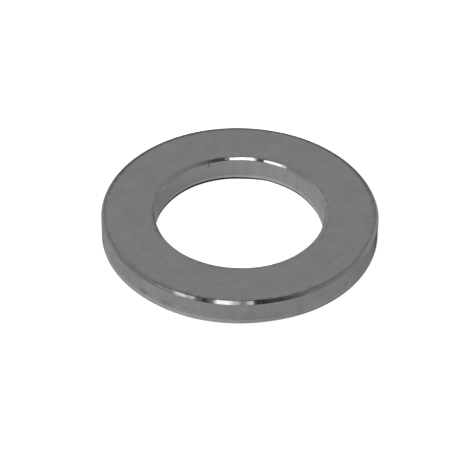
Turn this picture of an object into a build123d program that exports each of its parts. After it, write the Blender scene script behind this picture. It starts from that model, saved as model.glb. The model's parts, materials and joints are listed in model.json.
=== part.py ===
from build123d import *
import os

# A plain flat washer of the small outside diameter series, for a 16 mm screw.
# It is one ring of steel: two flat bearing faces, a straight bore and a straight rim.
# The bore axis is Z, and the origin is the bore's centre on the bottom bearing face.
# All dimensions are in millimetres.

# Ring
outer_diameter = 28.0
bore_diameter = 17.2
thickness = 2.7

# Both edges of the top face carry a 45 degree chamfer. The bottom edges are only broken.
rim_chamfer = 0.28
bore_chamfer = 0.24
bottom_break = 0.05

os.makedirs("parts", exist_ok=True)

with BuildPart() as washer:
    with BuildSketch(Plane.XY):
        Circle(outer_diameter / 2)
        Circle(bore_diameter / 2, mode=Mode.SUBTRACT)
    extrude(amount=thickness)

    # The top face has two circular edges: the larger is the rim's, the smaller the bore's.
    rim_edge = washer.edges().group_by(Axis.Z)[-1].sort_by(SortBy.RADIUS)[-1]
    chamfer(rim_edge, rim_chamfer)
    bore_edge = washer.edges().group_by(Axis.Z)[-1].sort_by(SortBy.RADIUS)[0]
    chamfer(bore_edge, bore_chamfer)

    bottom_edges = washer.edges().group_by(Axis.Z)[0]
    chamfer(bottom_edges, bottom_break)

washer.part.label = "washer"
export_step(washer.part, "parts/washer.step")
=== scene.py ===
import json
import math
from types import SimpleNamespace

import bpy
import numpy as np
from mathutils import Matrix, Vector


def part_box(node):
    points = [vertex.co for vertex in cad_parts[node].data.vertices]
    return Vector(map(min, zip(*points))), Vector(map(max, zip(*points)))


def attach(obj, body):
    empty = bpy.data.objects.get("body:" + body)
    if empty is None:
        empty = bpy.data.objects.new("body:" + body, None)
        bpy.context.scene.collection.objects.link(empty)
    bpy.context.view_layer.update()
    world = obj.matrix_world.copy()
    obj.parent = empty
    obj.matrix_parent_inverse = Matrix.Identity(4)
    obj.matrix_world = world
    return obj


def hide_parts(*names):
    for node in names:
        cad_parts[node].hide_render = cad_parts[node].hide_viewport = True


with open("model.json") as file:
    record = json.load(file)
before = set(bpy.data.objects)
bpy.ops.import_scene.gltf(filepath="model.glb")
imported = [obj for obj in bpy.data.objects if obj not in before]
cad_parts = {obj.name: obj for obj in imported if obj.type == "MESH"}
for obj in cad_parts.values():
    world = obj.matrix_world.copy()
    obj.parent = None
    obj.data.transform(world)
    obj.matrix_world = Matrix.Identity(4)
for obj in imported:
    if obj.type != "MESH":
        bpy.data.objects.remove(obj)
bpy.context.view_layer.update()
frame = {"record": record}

# Everything is in metres, in the CAD frame: the bore's axis is Z and the washer lies on z = 0.
# Azimuth 0 is the camera's side of the washer, and positive azimuths are to the camera's right.
MM = 0.001

# The washer's sizes, read from the frame.
CAD_LOW, CAD_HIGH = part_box("washer")
BORE = next(m for m in frame["record"]["mounts"] if m["name"] == "bore")
RIM_RADIUS = (CAD_HIGH.x - CAD_LOW.x) / 2
BORE_RADIUS = BORE["dims"]["r_mm"] * MM
THICKNESS = CAD_HIGH.z - CAD_LOW.z
CENTRE = Vector((0, 0, THICKNESS / 2))

# The visible ring isn't quite round: it fills the CAD circle only at its right side.
RING_OUTSIDE = RIM_RADIUS - 0.070 * MM
RING_INSIDE = BORE_RADIUS - 0.043 * MM


def direction(azimuth, elevation):
    """Unit vector from the washer towards an azimuth and elevation in degrees."""
    a, e = math.radians(azimuth), math.radians(elevation)
    return Vector((math.sin(a) * math.cos(e), -math.cos(a) * math.cos(e), math.sin(e)))


# ---------------------------------------------------------------- camera

# Three quarters from above, with the picture turned by a small roll.
VIEW_ELEVATION = math.radians(39.85)
VIEW_ROLL = math.radians(0.81)
VIEW_DISTANCE = 18.1 * RIM_RADIUS
SENSOR_WIDTH = 36.0
LENS = 191.15
CLIP_START = 0.01
CLIP_END = 10.0

# The camera looks this far to the left of the washer's centre and below it.
AIM_LEFT = 0.345 * MM
AIM_DOWN = 1.482 * MM


def make_camera():
    """A camera that looks beside the washer's centre from straight in front of it."""
    right = Vector((1, 0, 0))
    back = Vector((0, -math.cos(VIEW_ELEVATION), math.sin(VIEW_ELEVATION)))
    up = back.cross(right)
    place = CENTRE + back * VIEW_DISTANCE
    aim = CENTRE - right * AIM_LEFT - up * AIM_DOWN
    back = (place - aim).normalized()
    right = Vector((0, 0, 1)).cross(back).normalized()
    up = back.cross(right)
    rolled_right = right * math.cos(VIEW_ROLL) + up * math.sin(VIEW_ROLL)
    rolled_up = up * math.cos(VIEW_ROLL) - right * math.sin(VIEW_ROLL)

    data = bpy.data.cameras.new("camera")
    data.sensor_width = SENSOR_WIDTH
    data.lens = LENS
    data.clip_start = CLIP_START
    data.clip_end = CLIP_END
    camera = bpy.data.objects.new("camera", data)
    turn = Matrix((rolled_right, rolled_up, back)).transposed().to_4x4()
    camera.matrix_world = Matrix.Translation(place) @ turn
    bpy.context.scene.collection.objects.link(camera)
    bpy.context.scene.camera = camera


# ---------------------------------------------------------------- ring mesh

# Steps round the ring and in each rounded corner, and how far a corner's support rows lie from it.
STEPS_ROUND = 1440
ARC_STEPS = 6
SUPPORT = 0.018 * MM

# Chamfers round the top face, and how each of the section's corners is rounded.
RIM_CHAMFER = 0.28 * MM
BORE_CHAMFER = 0.24 * MM
BORE_FOOT_ROUND = 0.05 * MM
RIM_FOOT_ROUND = 0.05 * MM
RIM_WALL_ROUND = 0.10 * MM
RIM_FACE_ROUND = 0.16 * MM
BORE_FACE_ROUND = 0.12 * MM
BORE_WALL_ROUND = 0.07 * MM

# The radius of the rim's face rounding is at most this many chamfers, so that it fits a narrow one.
WIDEST_ROUND = 2.0

# Uneven edges, as waves round the ring: share, random seed, fewest waves and most waves.
RIM_CHAMFER_WAVES = [(0.06, 3, 3, 16), (0.025, 4, 30, 120)]
BORE_CHAMFER_WAVES = [(0.10, 5, 3, 16), (0.025, 6, 30, 100)]
BORE_FOOT_WAVES = [(0.15, 7, 3, 40)]
RIM_FOOT_WAVES = [(0.20, 14, 4, 60)]
RIM_WALL_WAVES = [(0.20, 12, 6, 60)]
RIM_FACE_WAVES = [(0.30, 8, 4, 40), (0.35, 9, 50, 240)]
BORE_FACE_WAVES = [(0.45, 10, 4, 30), (0.35, 11, 40, 160)]
BORE_WALL_WAVES = [(0.20, 13, 6, 60)]

# Uneven stretches, as humps: height, azimuth in degrees, and sharpness.
RIM_CHAMFER_HUMPS = [(-0.30, 215, 2), (0.10, -5, 15)]
BORE_CHAMFER_HUMPS = [(-0.30, -15, 12), (-0.50, 62, 14)]
RIM_WALL_HUMPS = [(-0.7, -5, 200)]
RIM_FACE_HUMPS = [(1.2, 180, 2), (-1.0, -5, 200)]
RIM_FACE_LEAST = 1.3

# The burr leans the bore's wall inwards at its foot.
BURR = 0.01 * MM
BURR_HUMPS = [
    (0.11 * MM, 110, 20), (-0.05 * MM, 142, 60), (-0.11 * MM, 161, 300),
    (0.045 * MM, 180, 300), (0.05 * MM, 238, 60), (-0.05 * MM, 283, 40),
]

# How far the rim stands out from RING_OUTSIDE. The clearance keeps it inside the CAD's box.
RIM_HUMPS = [(0.03 * MM, -68, 90), (0.035 * MM, -20, 120), (-0.05 * MM, 13, 100)]
RIM_CLEARANCE = 0.001 * MM
RIGHT_SWELL = 0.070 * MM
RIGHT_SWELL_SHARPNESS = 40
LEFT_SWELL = 0.041 * MM
LEFT_SWELL_SHARPNESS = 24


def wobble(angles, seed, first, last):
    """A smooth closed wave round the ring, from -1 to 1, made of whole harmonics."""
    rng = np.random.default_rng(seed)
    total = np.zeros_like(angles)
    for waves in range(first, last + 1):
        phase = rng.uniform(0, 2 * math.pi)
        total += rng.normal() * np.cos(waves * angles + phase) / math.sqrt(waves)
    return total / np.abs(total).max()


def uneven(angles, rows):
    """1, plus each row's share of its own wobble."""
    return 1 + sum(share * wobble(angles, seed, first, last) for share, seed, first, last in rows)


def humps(angles, rows):
    """The sum of smooth humps, each centred on its azimuth in degrees."""
    total = np.zeros_like(angles)
    for height, azimuth, sharpness in rows:
        total += height * (0.5 + 0.5 * np.cos(angles - math.radians(azimuth))) ** sharpness
    return total


def rim_swell(angles):
    """How far the rim stands out, most at its right and left sides."""
    right = np.maximum(np.sin(angles), 0) ** RIGHT_SWELL_SHARPNESS
    left = np.maximum(-np.sin(angles), 0) ** LEFT_SWELL_SHARPNESS
    return humps(angles, RIM_HUMPS) + RIGHT_SWELL * right + LEFT_SWELL * left - RIM_CLEARANCE


def ring_corners(angles):
    """The section's six corners (radius, height) and their edge radii, for every angle."""
    rim_cut = RIM_CHAMFER * uneven(angles, RIM_CHAMFER_WAVES) * (1 + humps(angles, RIM_CHAMFER_HUMPS))
    bore_cut = BORE_CHAMFER * uneven(angles, BORE_CHAMFER_WAVES) * (1 + humps(angles, BORE_CHAMFER_HUMPS))
    outside = RING_OUTSIDE + rim_swell(angles)
    flat = np.ones_like(angles)
    corners = [
        (RING_INSIDE - BURR - humps(angles, BURR_HUMPS), 0 * flat),
        (outside, 0 * flat),
        (outside, THICKNESS - rim_cut),
        (outside - rim_cut, THICKNESS * flat),
        (RING_INSIDE + bore_cut, THICKNESS * flat),
        (RING_INSIDE * flat, THICKNESS - bore_cut),
    ]
    rolled = RIM_FACE_LEAST + humps(angles, RIM_FACE_HUMPS)
    radii = [
        BORE_FOOT_ROUND * uneven(angles, BORE_FOOT_WAVES),
        RIM_FOOT_ROUND * uneven(angles, RIM_FOOT_WAVES),
        RIM_WALL_ROUND * (uneven(angles, RIM_WALL_WAVES) + humps(angles, RIM_WALL_HUMPS)),
        np.minimum(RIM_FACE_ROUND * uneven(angles, RIM_FACE_WAVES) * rolled, WIDEST_ROUND * rim_cut),
        BORE_FACE_ROUND * uneven(angles, BORE_FACE_WAVES),
        BORE_WALL_ROUND * uneven(angles, BORE_WALL_WAVES),
    ]
    return np.array([np.stack(c, axis=1) for c in corners]), np.array(radii)


def unit(rows):
    """Each row's vector at length 1."""
    return rows / np.linalg.norm(rows, axis=1, keepdims=True)


def rounded_section(points, radii):
    """Rounds each corner of a convex outline, with a support row on the flat beside each arc."""
    outline = []
    count = len(points)
    for i in range(count):
        here = points[i]
        to_before = unit(points[i - 1] - here)
        to_after = unit(points[(i + 1) % count] - here)
        half = np.arccos((to_before * to_after).sum(axis=1)) / 2
        reach = (radii[i] / np.tan(half))[:, None]
        centre = here + unit(to_before + to_after) * (radii[i] / np.sin(half))[:, None]
        start = here + to_before * reach - centre
        end = here + to_after * reach - centre
        turn = math.pi - 2 * half
        outline.append(centre + start + to_before * SUPPORT)
        for step in range(ARC_STEPS + 1):
            part = step / ARC_STEPS
            first = np.sin((1 - part) * turn) / np.sin(turn)
            second = np.sin(part * turn) / np.sin(turn)
            outline.append(centre + start * first[:, None] + end * second[:, None])
        outline.append(centre + end + to_after * SUPPORT)
    return np.array(outline)


def make_ring():
    """One closed mesh: the rounded section, swept once round the axis."""
    angles = np.linspace(0, 2 * math.pi, STEPS_ROUND, endpoint=False)
    section = rounded_section(*ring_corners(angles))
    rows = len(section)
    x = section[:, :, 0] * np.sin(angles)
    y = -section[:, :, 0] * np.cos(angles)
    z = section[:, :, 1]
    verts = np.stack([x, y, z], axis=2).reshape(-1, 3)
    faces = []
    for row in range(rows):
        here = row * STEPS_ROUND
        above = (row + 1) % rows * STEPS_ROUND
        for step in range(STEPS_ROUND):
            after = (step + 1) % STEPS_ROUND
            faces.append((here + step, here + after, above + after, above + step))
    mesh = bpy.data.meshes.new("washer_ring")
    mesh.from_pydata(verts.tolist(), [], faces)
    mesh.validate()
    mesh.shade_smooth()
    ring = bpy.data.objects.new("washer_ring", mesh)
    bpy.context.scene.collection.objects.link(ring)
    return ring


# ---------------------------------------------------------------- node trees

class Nodes:
    """Short calls that add nodes to one tree. A value is a number or another node's output."""

    def __init__(self, tree):
        self.tree = tree

    def add(self, kind, inputs=None, **settings):
        """A new node, with its inputs linked or set."""
        node = self.tree.nodes.new("ShaderNode" + kind)
        for name, value in settings.items():
            setattr(node, name, value)
        for key, value in (inputs or {}).items():
            if isinstance(value, bpy.types.NodeSocket):
                self.tree.links.new(value, node.inputs[key])
            else:
                node.inputs[key].default_value = value
        return node

    def calc(self, operation, *values):
        """The output of one Math node."""
        return self.add("Math", dict(enumerate(values)), operation=operation).outputs[0]

    def plus(self, total, *values):
        """The sum of all the values."""
        for value in values:
            total = self.calc("ADD", total, value)
        return total

    def times(self, product, *values):
        """The product of all the values."""
        for value in values:
            product = self.calc("MULTIPLY", product, value)
        return product

    def rest_of(self, mask):
        """What is left of 1."""
        return self.calc("SUBTRACT", 1.0, mask)

    def between(self, value, start, end, low=0.0, high=1.0):
        """Runs smoothly from low, where value is start, to high, where value is end."""
        inputs = {"Value": value, "From Min": start, "From Max": end, "To Min": low, "To Max": high}
        return self.add("MapRange", inputs, interpolation_type="SMOOTHSTEP").outputs["Result"]

    def window(self, value, start, full, still_full, end):
        """1 from full to still_full, and fading to 0 towards start and end."""
        return self.times(self.between(value, start, full), self.between(value, end, still_full))

    def blend(self, mask, low, high):
        """low where mask is 0 and high where it is 1."""
        inputs = {"Value": mask, "To Min": low, "To Max": high}
        return self.add("MapRange", inputs, interpolation_type="LINEAR").outputs["Result"]

    def level(self, amount, *masks):
        """1 away from the masks, and amount where all of them are 1."""
        return self.blend(self.times(*masks), 1.0, amount)

    def noise(self, place, size, detail, roughness=0.6):
        """Noise between 0 and 1 whose blotches are about size metres across."""
        inputs = {"Vector": place, "Scale": 1 / size, "Detail": detail, "Roughness": roughness}
        return self.add("TexNoise", inputs).outputs["Fac"]

    def ramp(self, value, stops, first, last):
        """A level read from (place, level) stops, for value between first and last."""
        share = self.add("MapRange", {"Value": value, "From Min": first, "From Max": last})
        node = self.add("ValToRGB", {"Fac": share.outputs["Result"]})
        elements = node.color_ramp.elements
        while len(elements) < len(stops):
            elements.new(0.5)
        for element, (place, level) in zip(elements, stops):
            element.position = (place - first) / (last - first)
            element.color = (level, level, level, 1)
        return node.outputs["Color"]

    def grey(self, level):
        """A colour with all three channels at one level."""
        return self.add("CombineColor", {"Red": level, "Green": level, "Blue": level}).outputs["Color"]


# ---------------------------------------------------------------- steel

# Reflectance and roughness of the satin face, the satin walls and the polished chamfers.
FACE_GREY = 0.199
WALL_GREY = 0.175
CHAMFER_GREY = 0.190
FACE_ROUGHNESS = 0.34
WALL_ROUGHNESS = 0.42
CHAMFER_ROUGHNESS = 0.09
WORN_ROUGHNESS = 0.45

# Which part of the section a point is on, by the Z of its normal.
FACE_RISE = (0.955, 0.985)
CHAMFER_RISE = (0.25, 0.5)
WALL_RISE = (0.45, 0.2)
BORDER_RISE = (0.86, 0.93, 0.985, 0.998)
EDGE_LINE_RISE = (0.80, 0.92)
BACK_RING_RISE = (0.72, 0.84)

# Patterns: how wide their blotches are, and how far a drawn mark is stretched along the axis.
BLOTCH_SIZE = 2.4 * MM
MARK_SIZE = 0.7 * MM
GRAIN_SIZE = 0.11 * MM
SMEAR_SIZE = 0.85 * MM
SCUFF_SIZE = 0.55 * MM
PIT_SPACING = 1.3 * MM
PIT_EDGE = (0.10, 0.05)
PIT_SHARE = (0.80, 0.81)
DRAWN = (1, 1, 0.15)

# Going inwards between these radii, a point passes from the rim's side to the bore's.
BORE_SIDE_RADII = (RING_INSIDE + 0.40 * MM, RING_INSIDE + 0.25 * MM)

# How dull each chamfer is worn, from 0 to 1, by azimuth in degrees.
RIM_WEAR = [
    (-180, 0.0), (-38, 0.0), (-35, 0.50), (-31, 0.72), (-28.5, 0.78), (-27.1, 0.82), (-26.5, 0.36),
    (-22.6, 0.40), (-21.9, 0.16), (-20.7, 0.68), (-19.4, 0.28), (-17.8, 0.25), (-17.3, 0.80), (-15.6, 0.80),
    (-15.1, 0.0), (-9.5, 0.0), (-8.5, 0.08), (-4.2, 0.08), (-3.2, 0.28), (-1.6, 0.54), (0.3, 0.58),
    (0.9, 0.85), (2.6, 0.85), (3.5, 0.42), (5.7, 0.38), (6.3, 0.80), (8.6, 0.80), (9.4, 0.0), (180, 0.0),
]
BORE_WEAR = [
    (-180, 0.0), (-125, 0.0), (-105, 1.0), (-70, 1.0), (70, 1.0), (105, 1.0), (125, 0.0),
    (145.5, 0.0), (147.5, 0.40), (150, 0.38), (153, 0.24), (155, 0.0), (180, 0.0),
]
WORN_LEVEL = 0.40

# Painted dark reflection: dark bands in the rim's chamfer beside its highlights, from 0 to 1, by azimuth in
# degrees.
RIM_DARK_REFLECTION = [
    (-180, 0.0), (-17.7, 0.0), (-17.2, 0.42), (-16.5, 0.65), (-14.4, 0.62), (-12.8, 0.0),
    (-12.6, 0.0), (-12.0, 0.97), (-9.9, 0.90), (-9.4, 0.0),
    (5.6, 0.0), (6.4, 0.66), (7.6, 0.72), (8.6, 0.90), (10.2, 0.85), (12.0, 0.0), (180, 0.0),
]
DARK_REFLECTION_LEVEL = 0.10

# Marks on the walls: side, azimuth, height, half width, half height, and how much they darken.
MARKS = [
    ("bore", -157.6, 2.22 * MM, 0.10 * MM, 0.42 * MM, 0.55),
    ("rim", -41.6, 0.90 * MM, 0.55 * MM, 0.40 * MM, 0.20),
    ("rim", -30.6, 0.88 * MM, 0.70 * MM, 0.30 * MM, 0.20),
    ("rim", 49.0, 1.20 * MM, 0.60 * MM, 0.40 * MM, 0.13),
    # painted shade, not a mark: a broad darkening of the rim's right side
    ("rim", 82.0, 1.20 * MM, 3.80 * MM, 3.00 * MM, 0.19),
]

# A mark fades in between these shares of its size, squared.
MARK_REACH_RUN = (1.0, 0.2)

# Below, a level is what the grey is multiplied by, an arc is a stretch of azimuth in degrees as
# (start, full, still full, end), and a run is (from, to) or (from, to, first value, last value).

# Top face: painted shade along its edges: a soft darker border, ragged dark lines, and dark rings at its left
# and back.
BORDER_SHADE_LEVEL = 0.94
RIM_SHADE_LEVEL = 0.79
RIM_LINE_RUN = (RING_OUTSIDE - 0.50 * MM, RING_OUTSIDE - 0.42 * MM)
BORE_SHADE_LEVEL = 0.87
BORE_LINE_RUN = (RING_INSIDE + 0.44 * MM, RING_INSIDE + 0.36 * MM)
LINE_NOISE_SIZE = 0.55 * MM
LINE_RAGGEDNESS = 1.00 * MM
LEFT_LINE_SHARE = 0.10
LEFT_SHADE_LEVEL = 0.90
LEFT_RING_RUN = (RING_OUTSIDE - 0.95 * MM, RING_OUTSIDE - 0.45 * MM)
LEFT_RING_ARC = (-68, -56, -29, -25)
BACK_SHADE_LEVEL = 0.66
BACK_RING_RUN = (RING_OUTSIDE - 0.64 * MM, RING_OUTSIDE - 0.44 * MM)
BACK_HALF_RUN = (0.0, 7.0 * MM)

# Bore wall: a painted contact shadow along its foot, by height and by X; smears, by X; and painted light on
# its right side, by X.
FOOT_SHADOW_LEVEL = 0.02
FOOT_LINE_SLOPE = 0.006
FOOT_SHADOW_HEIGHT_RUN = (0.27 * MM, 0.19 * MM)
LEFT_FOOT_SHADOW_RUN = (3.0 * MM, -0.5 * MM, 0.55, 1.0)
RIGHT_FOOT_SHADOW_RUN = (4.2 * MM, 6.0 * MM, 0.55, 0.9)
FOOT_SHADOW_END_RUN = (8.1 * MM, 7.3 * MM)
SMEAR_LEVEL = 1.14
SMEAR_NOISE_RUN = (0.52, 0.66)
SMEAR_RUN = (-3.0 * MM, 2.0 * MM, 0.3, 1.0)
BORE_LIT_RUN = (-1.0 * MM, 2.5 * MM, 1.03, 1.17)
BORE_MOST_LIT_RUN = (5.6 * MM, 7.4 * MM, 1.0, 1.13)

# Foot of both walls: painted light, standing in for the bright floor reflected near the base: slightly
# lighter, with a pale lip that is weaker on the rim's right.
FOOT_LEVEL = 1.06
FOOT_HEIGHT_RUN = (0.55 * MM, 0.35 * MM)
LIP_LEVEL = 1.40
LIP_TOP_RUN = (0.54 * MM, 0.44 * MM)
LIP_BOTTOM_RUN = (0.23 * MM, 0.30 * MM)
RIM_LIP_LOSS_RUN = (0, 26, 0.30, 0.75)

# Rim wall: painted light and shade: a pale sole and foot at the left, a dark sole (painted shadow) and a
# lighter wall at the right;
# and scuffs at the left.
LEFT_SOLE_LEVEL = 1.45
LEFT_SOLE_HEIGHT_RUN = (0.25 * MM, 0.12 * MM)
LEFT_SOLE_END_RUN = (35, 15)
LEFT_SOLE_FADE_RUN = (-50, -15, 0.4, 1.0)
RIGHT_SOLE_LEVEL = 0.60
RIGHT_SOLE_HEIGHT_RUN = (0.30 * MM, 0.15 * MM)
RIGHT_SOLE_ARC = (8, 45, 95, 110)
LEFT_FOOT_LEVEL = 1.14
LEFT_FOOT_HEIGHT_RUN = (1.15 * MM, 0.35 * MM)
LEFT_FOOT_END_RUN = (12, -12)
RIGHT_WALL_LEVEL_RUN = (1.7 * MM, 0.8 * MM, 1.06, 1.14)
RIGHT_WALL_ARC = (24, 34, 52, 62)
SCUFF_LEVELS = (0.92, 1.09)
SCUFF_NOISE_RUN = (0.36, 0.64)
SCUFF_ARC = (-84, -60, -32, -16)
SCUFF_ELSEWHERE = 0.35

# How much the steel whitens at glancing angles, and how much less at the rim's two sides, as painted shade
# there.
GLANCE_TINT = 0.6
RIGHT_GLANCE_LOSS = 0.50
RIGHT_GLANCE_ARC = (70, 83, 95, 105)
LEFT_GLANCE_LOSS = 0.30
LEFT_GLANCE_ARC = (-105, -95, -82, -70)

# Painted shade: how much metal shine is taken from the rim's two sides.
RIGHT_SIDE_SHADE = 0.85
RIGHT_SIDE_SHADE_ARC = (77, 84, 94, 100)
LEFT_SIDE_SHADE = 0.50
LEFT_SIDE_SHADE_ARC = (-100, -94, -85, -79)

# How strongly the patterns show: as levels, as added roughness, and as relief.
BLOTCH_LEVELS = (0.84, 1.16)
GRAIN_LEVELS = (0.96, 1.04)
MARK_LEVELS = (0.86, 1.14)
PIT_LEVEL = 0.7
BLOTCH_ROUGHNESS = (-0.05, 0.05)
GRAIN_ROUGHNESS = (-0.06, 0.06)
MARK_ROUGHNESS = (-0.05, 0.07)
GRAIN_RELIEF = 0.35
MARK_RELIEF = 0.65
PIT_RELIEF = 1.5
CHAMFER_RELIEF = 0.35
RELIEF_HEIGHT = 0.002 * MM


def find_places(nodes):
    """The washer's own coordinates, and masks for the parts of its section."""
    at = SimpleNamespace()
    at.place = nodes.add("TexCoord").outputs["Object"]
    split = nodes.add("SeparateXYZ", {"Vector": at.place})
    at.x, at.y, at.z = split.outputs["X"], split.outputs["Y"], split.outputs["Z"]
    normal = nodes.add("NewGeometry").outputs["Normal"]
    at.upward = nodes.add("SeparateXYZ", {"Vector": normal}).outputs["Z"]
    at.radius = nodes.calc("SQRT", nodes.plus(nodes.times(at.x, at.x), nodes.times(at.y, at.y)))
    at.azimuth = nodes.calc("DEGREES", nodes.calc("ARCTAN2", at.x, nodes.times(at.y, -1.0)))
    at.tilted_z = nodes.plus(at.z, nodes.times(at.x, FOOT_LINE_SLOPE))

    at.face = nodes.between(at.upward, *FACE_RISE)
    at.chamfer = nodes.times(nodes.between(at.upward, *CHAMFER_RISE), nodes.rest_of(at.face))
    at.wall = nodes.between(at.upward, *WALL_RISE)
    at.bore_side = nodes.between(at.radius, *BORE_SIDE_RADII)
    at.rim_side = nodes.rest_of(at.bore_side)
    at.rim_wall = nodes.times(at.rim_side, at.wall)
    return at


def find_patterns(nodes, at):
    """Blotches, marks drawn along the axis by the punch, grain, pits, wear, and a painted dark reflection in
    the rim's chamfer.
    """
    pattern = SimpleNamespace()
    stretched = {0: at.place, 1: DRAWN}
    pattern.drawn = nodes.add("VectorMath", stretched, operation="MULTIPLY").outputs["Vector"]
    pattern.blotches = nodes.noise(at.place, BLOTCH_SIZE, detail=4.0)
    pattern.marks = nodes.noise(pattern.drawn, MARK_SIZE, detail=4.0)
    pattern.grain = nodes.noise(at.place, GRAIN_SIZE, detail=2.0)

    cells = nodes.add("TexVoronoi", {"Vector": at.place, "Scale": 1 / PIT_SPACING})
    pick = nodes.add("SeparateColor", {"Color": cells.outputs["Color"]}).outputs["Red"]
    near_middle = nodes.between(cells.outputs["Distance"], *PIT_EDGE)
    pattern.pits = nodes.times(near_middle, nodes.between(pick, *PIT_SHARE))

    rim_wear = nodes.ramp(at.azimuth, RIM_WEAR, -180, 180)
    bore_wear = nodes.ramp(at.azimuth, BORE_WEAR, -180, 180)
    pattern.wear = nodes.blend(at.bore_side, rim_wear, bore_wear)
    pattern.stain = nodes.ramp(at.azimuth, RIM_DARK_REFLECTION, -180, 180)
    return pattern


def face_painted_shade(nodes, at):
    """Painted shade: darker lines and rings along the edges of the top face."""
    border = nodes.window(at.upward, *BORDER_RISE)

    line_noise = nodes.noise(at.place, LINE_NOISE_SIZE, detail=2.0, roughness=0.55)
    shift = nodes.times(nodes.calc("SUBTRACT", line_noise, 0.5), LINE_RAGGEDNESS)
    ragged_radius = nodes.plus(at.radius, shift)
    rim_line = nodes.between(ragged_radius, *RIM_LINE_RUN)
    bore_line = nodes.between(ragged_radius, *BORE_LINE_RUN)
    left_arc = nodes.window(at.azimuth, *LEFT_RING_ARC)
    edge_shade_line = nodes.times(
        nodes.calc("MAXIMUM", rim_line, bore_line),
        nodes.between(at.upward, *EDGE_LINE_RISE),
        nodes.level(LEFT_LINE_SHARE, left_arc),
    )
    edge_shade_level = nodes.blend(at.bore_side, RIM_SHADE_LEVEL, BORE_SHADE_LEVEL)

    left_ring = nodes.between(at.radius, *LEFT_RING_RUN)
    back_ring = nodes.between(at.radius, *BACK_RING_RUN)
    back_rise = nodes.between(at.upward, *BACK_RING_RISE)
    back_half = nodes.between(at.y, *BACK_HALF_RUN)
    return [
        nodes.level(BORDER_SHADE_LEVEL, border),
        nodes.level(edge_shade_level, edge_shade_line),
        nodes.level(BACK_SHADE_LEVEL, back_ring, back_rise, back_half),
        nodes.level(LEFT_SHADE_LEVEL, left_ring, left_arc, at.face),
    ]


def bore_shading_and_smears(nodes, at, pattern):
    """A bore wall with painted light and smears to the right, and a painted contact shadow along its foot."""
    shaded_foot = nodes.between(at.tilted_z, *FOOT_SHADOW_HEIGHT_RUN)
    left_foot_shadow = nodes.between(at.x, *LEFT_FOOT_SHADOW_RUN)
    right_foot_shadow = nodes.between(at.x, *RIGHT_FOOT_SHADOW_RUN)
    foot_shadow = nodes.calc("MAXIMUM", left_foot_shadow, right_foot_shadow)
    foot_shadow_end = nodes.between(at.x, *FOOT_SHADOW_END_RUN)

    smears = nodes.between(nodes.noise(pattern.drawn, SMEAR_SIZE, detail=3.0), *SMEAR_NOISE_RUN)
    smeared = nodes.between(at.x, *SMEAR_RUN)

    lit = nodes.between(at.x, *BORE_LIT_RUN)
    most_lit = nodes.between(at.x, *BORE_MOST_LIT_RUN)
    return [
        # painted contact shadow along the bore wall's foot
        nodes.level(FOOT_SHADOW_LEVEL, shaded_foot, at.bore_side, foot_shadow, foot_shadow_end),
        nodes.level(SMEAR_LEVEL, smears, smeared, at.bore_side),
        # painted light on the bore wall's right side
        nodes.level(nodes.times(lit, most_lit), at.bore_side),
    ]


def foot_painted_light(nodes, at):
    """Painted light: a lighter foot with a pale lip on both walls."""
    foot = nodes.between(at.z, *FOOT_HEIGHT_RUN)
    lip_top = nodes.between(at.z, *LIP_TOP_RUN)
    lip_bottom = nodes.between(at.tilted_z, *LIP_BOTTOM_RUN)
    lost = nodes.times(at.rim_side, nodes.between(at.azimuth, *RIM_LIP_LOSS_RUN))
    return [
        nodes.level(FOOT_LEVEL, foot),
        nodes.level(LIP_LEVEL, lip_top, lip_bottom, nodes.rest_of(lost)),
    ]


def rim_shading_and_scuffs(nodes, at):
    """The rim wall's painted light and shade (soles and lighter stretches), and its scuffs."""
    left_sole = nodes.between(at.z, *LEFT_SOLE_HEIGHT_RUN)
    left_sole_end = nodes.between(at.azimuth, *LEFT_SOLE_END_RUN)
    left_sole_fade = nodes.between(at.azimuth, *LEFT_SOLE_FADE_RUN)

    right_sole = nodes.between(at.z, *RIGHT_SOLE_HEIGHT_RUN)
    right_sole_arc = nodes.window(at.azimuth, *RIGHT_SOLE_ARC)

    left_foot = nodes.between(at.z, *LEFT_FOOT_HEIGHT_RUN)
    left_foot_end = nodes.between(at.azimuth, *LEFT_FOOT_END_RUN)

    right_arc = nodes.window(at.azimuth, *RIGHT_WALL_ARC)
    right_level = nodes.between(at.z, *RIGHT_WALL_LEVEL_RUN)

    scuffed = nodes.blend(nodes.window(at.azimuth, *SCUFF_ARC), SCUFF_ELSEWHERE, 1.0)
    scuffs = nodes.between(nodes.noise(at.place, SCUFF_SIZE, detail=4.0), *SCUFF_NOISE_RUN)
    return [
        # painted light and shadow at the rim wall's soles and lighter stretches
        nodes.level(LEFT_SOLE_LEVEL, left_sole, left_sole_end, left_sole_fade, at.rim_side),
        nodes.level(RIGHT_SOLE_LEVEL, right_sole, right_sole_arc, at.rim_side),
        nodes.level(LEFT_FOOT_LEVEL, left_foot, left_foot_end, at.rim_wall),
        nodes.level(right_level, right_arc, at.rim_wall),
        nodes.level(nodes.blend(scuffs, *SCUFF_LEVELS), scuffed, at.rim_wall),
    ]


def wall_mark(nodes, at, side, azimuth, height, half_width, half_height, darkening):
    """1 away from a soft oval mark on a wall, and down to 1 - darkening at its middle."""
    on_bore = side == "bore"
    degree = math.radians(1) * (BORE_RADIUS if on_bore else RIM_RADIUS)
    across = nodes.times(nodes.calc("SUBTRACT", at.azimuth, azimuth), degree / half_width)
    along = nodes.times(nodes.calc("SUBTRACT", at.z, height), 1 / half_height)
    reach = nodes.plus(nodes.times(across, across), nodes.times(along, along))
    on_side = at.bore_side if on_bore else at.rim_side
    inside = nodes.between(reach, *MARK_REACH_RUN)
    return nodes.level(1 - darkening, inside, on_side, at.wall)


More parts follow.
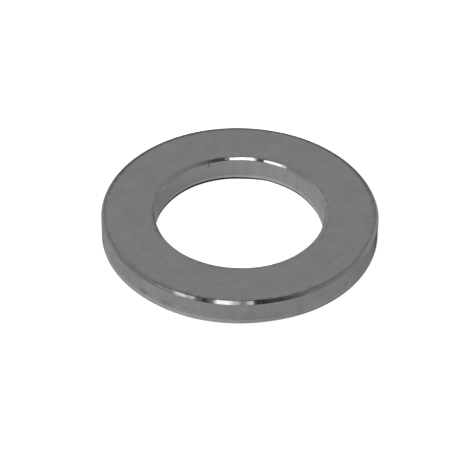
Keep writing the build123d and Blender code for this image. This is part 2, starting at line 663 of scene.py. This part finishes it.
def link_colour(nodes, shader, at, pattern):
    """A base grey for each part of the section, times every level."""
    satin = nodes.blend(at.face, WALL_GREY, FACE_GREY)
    base = nodes.plus(satin, nodes.times(at.chamfer, CHAMFER_GREY - WALL_GREY))
    rim_chamfer = nodes.times(at.chamfer, at.rim_side)
    levels = [
        nodes.blend(pattern.blotches, *BLOTCH_LEVELS),
        nodes.blend(pattern.grain, *GRAIN_LEVELS),
        nodes.blend(pattern.marks, *MARK_LEVELS),
        nodes.level(PIT_LEVEL, pattern.pits),
        nodes.level(WORN_LEVEL, pattern.wear, rim_chamfer),
        # painted dark reflection: dark bands in the rim's chamfer
        nodes.level(DARK_REFLECTION_LEVEL, pattern.stain, rim_chamfer),
    ]
    # painted shade along the top face's edges
    levels += face_painted_shade(nodes, at)
    # painted contact shadow and painted light on the bore wall, and smears
    levels += bore_shading_and_smears(nodes, at, pattern)
    # painted light along the foot of both walls
    levels += foot_painted_light(nodes, at)
    # painted light and shade on the rim wall, and scuffs
    levels += rim_shading_and_scuffs(nodes, at)
    levels += [wall_mark(nodes, at, *mark) for mark in MARKS]
    nodes.tree.links.new(nodes.grey(nodes.times(base, *levels)), shader.inputs["Base Color"])


def link_shine(nodes, shader, at):
    """Less whitening at glancing angles, and painted shade at the rim's two sides: less whitening and less
    metal shine there.
    """
    right_loss = nodes.times(at.rim_wall, nodes.window(at.azimuth, *RIGHT_GLANCE_ARC), RIGHT_GLANCE_LOSS)
    left_loss = nodes.times(at.rim_wall, nodes.window(at.azimuth, *LEFT_GLANCE_ARC), LEFT_GLANCE_LOSS)
    tint = nodes.calc("SUBTRACT", GLANCE_TINT, nodes.plus(right_loss, left_loss))
    nodes.tree.links.new(nodes.grey(tint), shader.inputs["Specular Tint"])

    # painted shade: less metal shine at the rim's two sides
    right_shade = nodes.times(nodes.window(at.azimuth, *RIGHT_SIDE_SHADE_ARC), RIGHT_SIDE_SHADE)
    left_shade = nodes.times(nodes.window(at.azimuth, *LEFT_SIDE_SHADE_ARC), LEFT_SIDE_SHADE)
    side_shade = nodes.times(nodes.plus(right_shade, left_shade), at.rim_wall)
    nodes.tree.links.new(nodes.rest_of(side_shade), shader.inputs["Metallic"])


def link_roughness(nodes, shader, at, pattern):
    """Satin faces and walls, and chamfers between polished and worn."""
    satin = nodes.plus(
        nodes.blend(at.face, WALL_ROUGHNESS, FACE_ROUGHNESS),
        nodes.blend(pattern.blotches, *BLOTCH_ROUGHNESS),
        nodes.blend(pattern.grain, *GRAIN_ROUGHNESS),
    )
    polish = nodes.plus(
        nodes.blend(pattern.wear, CHAMFER_ROUGHNESS, WORN_ROUGHNESS),
        nodes.blend(pattern.marks, *MARK_ROUGHNESS),
    )
    satin_share = nodes.times(satin, nodes.rest_of(at.chamfer))
    polish_share = nodes.times(polish, at.chamfer)
    nodes.tree.links.new(nodes.plus(satin_share, polish_share), shader.inputs["Roughness"])


def link_relief(nodes, shader, at, pattern):
    """Fine relief: grain and drawn marks, fainter on the chamfers, and pits."""
    relief = nodes.plus(nodes.times(pattern.grain, GRAIN_RELIEF), nodes.times(pattern.marks, MARK_RELIEF))
    relief = nodes.times(relief, nodes.level(CHAMFER_RELIEF, at.chamfer))
    relief = nodes.calc("SUBTRACT", relief, nodes.times(pattern.pits, PIT_RELIEF))
    bump = nodes.add("Bump", {"Height": relief, "Distance": RELIEF_HEIGHT, "Strength": 1.0})
    nodes.tree.links.new(bump.outputs["Normal"], shader.inputs["Normal"])


def make_steel():
    """Satin faces and walls, and polished chamfers with worn spots, dark borders of painted shade, painted
    light and shade on the walls, and fine grain.
    """
    material = bpy.data.materials.new("steel")
    material.use_nodes = True
    shader = material.node_tree.nodes["Principled BSDF"]
    shader.inputs["Specular IOR Level"].default_value = 0.0
    nodes = Nodes(material.node_tree)
    at = find_places(nodes)
    pattern = find_patterns(nodes, at)
    link_colour(nodes, shader, at, pattern)
    link_shine(nodes, shader, at)
    link_roughness(nodes, shader, at, pattern)
    link_relief(nodes, shader, at, pattern)
    return material


# ---------------------------------------------------------------- studio

FLOOR_HALF_SIZE = 1.5
FLOOR_GREY = 0.35
FLOOR_GLOW = 0.82
FLOOR_Z = -0.01 * MM
BACKGROUND_GLOW = 1.15

# Softboxes: name, azimuth, elevation, angular width and height in degrees, and radiance.
LIGHT_DISTANCE = 0.40
SOFTBOXES = [
    ("front_softbox", -3.0, 50, 24.8, 22, 5.3),
    ("left_softbox", -51.4, 44, 17.6, 18, 5.0),
]

# The floor's own light.
KEY_AZIMUTH = -100
KEY_ELEVATION = 42
KEY_DISTANCE = 0.062
KEY_SIZE = 25 * MM
KEY_POWER = 0.040

# How bright the room is, by the angle in degrees from a point just above the camera.
ROOM_MIDDLE = direction(0, 40)
ROOM_STOPS = [
    (0, 0.16), (28, 0.21), (31, 0.28), (37, 0.48), (43, 0.62),
    (48, 0.76), (86, 0.84), (96, 1.15), (180, 1.15),
]

# A dim patch low on the far side, between two angles from its middle, and a dim ceiling.
FAR_LOW_MIDDLE = direction(174, 0)
FAR_LOW_ANGLES = (32, 20)
FAR_LOW_LEVEL = 0.35
CEILING_ELEVATIONS = (50, 68)
CEILING_LEVEL = 0.75


def make_floor():
    """A pale card just under the washer, bright enough to come out white."""
    size = FLOOR_HALF_SIZE
    mesh = bpy.data.meshes.new("floor")
    corners = [(-size, -size, FLOOR_Z), (size, -size, FLOOR_Z), (size, size, FLOOR_Z), (-size, size, FLOOR_Z)]
    mesh.from_pydata(corners, [], [(0, 1, 2, 3)])
    floor = bpy.data.objects.new("floor", mesh)
    bpy.context.scene.collection.objects.link(floor)
    material = bpy.data.materials.new("floor_card")
    material.use_nodes = True
    shader = material.node_tree.nodes["Principled BSDF"]
    shader.inputs["Base Color"].default_value = (FLOOR_GREY, FLOOR_GREY, FLOOR_GREY, 1)
    shader.inputs["Roughness"].default_value = 1.0
    shader.inputs["Specular IOR Level"].default_value = 0.0
    shader.inputs["Emission Color"].default_value = (1, 1, 1, 1)
    shader.inputs["Emission Strength"].default_value = FLOOR_GLOW
    mesh.materials.append(material)


def add_light(data, azimuth, elevation, distance):
    """Places a light at an azimuth and elevation in degrees, facing the washer."""
    light = bpy.data.objects.new(data.name, data)
    towards = direction(azimuth, elevation)
    light.location = towards * distance
    light.rotation_mode = "QUATERNION"
    light.rotation_quaternion = towards.to_track_quat("Z", "Y")
    bpy.context.scene.collection.objects.link(light)
    return light


def make_softbox(name, azimuth, elevation, wide, tall, radiance):
    """An area light with its angular size in degrees, as seen from the washer."""
    data = bpy.data.lights.new(name, "AREA")
    data.shape = "RECTANGLE"
    data.size = 2 * LIGHT_DISTANCE * math.tan(math.radians(wide / 2))
    data.size_y = 2 * LIGHT_DISTANCE * math.tan(math.radians(tall / 2))
    data.energy = radiance * math.pi * data.size * data.size_y
    add_light(data, azimuth, elevation, LIGHT_DISTANCE)


def make_floor_key():
    """A small light low on the left that brightens the floor, and that no reflection shows."""
    data = bpy.data.lights.new("floor_key", "AREA")
    data.shape = "DISK"
    data.size = KEY_SIZE
    data.energy = KEY_POWER
    key = add_light(data, KEY_AZIMUTH, KEY_ELEVATION, KEY_DISTANCE)
    key.visible_glossy = False
    key.visible_camera = False


def make_room():
    """A pale room, dim round the camera, overhead, and along the horizon at the far side."""
    world = bpy.data.worlds.new("room")
    world.use_nodes = True
    bpy.context.scene.world = world
    background = world.node_tree.nodes["Background"]
    nodes = Nodes(world.node_tree)
    towards = nodes.add("TexCoord").outputs["Generated"]

    facing = nodes.add("VectorMath", {0: towards, 1: ROOM_MIDDLE}, operation="DOT_PRODUCT")
    angle = nodes.calc("DEGREES", nodes.calc("ARCCOSINE", facing.outputs["Value"]))
    level = nodes.ramp(angle, ROOM_STOPS, 0, 180)

    far = nodes.add("VectorMath", {0: towards, 1: FAR_LOW_MIDDLE}, operation="DOT_PRODUCT")
    outer, inner = (math.cos(math.radians(edge)) for edge in FAR_LOW_ANGLES)
    far_low = nodes.between(far.outputs["Value"], outer, inner, 1.0, FAR_LOW_LEVEL)

    upward = nodes.add("SeparateXYZ", {"Vector": towards}).outputs["Z"]
    lower, upper = (math.sin(math.radians(edge)) for edge in CEILING_ELEVATIONS)
    ceiling = nodes.between(upward, lower, upper, 1.0, CEILING_LEVEL)

    level = nodes.times(level, far_low, ceiling)
    seen = nodes.add("LightPath").outputs["Is Camera Ray"]
    nodes.tree.links.new(nodes.blend(seen, level, BACKGROUND_GLOW), background.inputs["Color"])


# ---------------------------------------------------------------- scene

make_camera()
ring = make_ring()
ring.data.materials.append(make_steel())
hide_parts("washer")
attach(ring, "root")

make_floor()
make_room()
for softbox in SOFTBOXES:
    make_softbox(*softbox)
make_floor_key()
bpy.context.scene.view_settings.view_transform = "Standard"
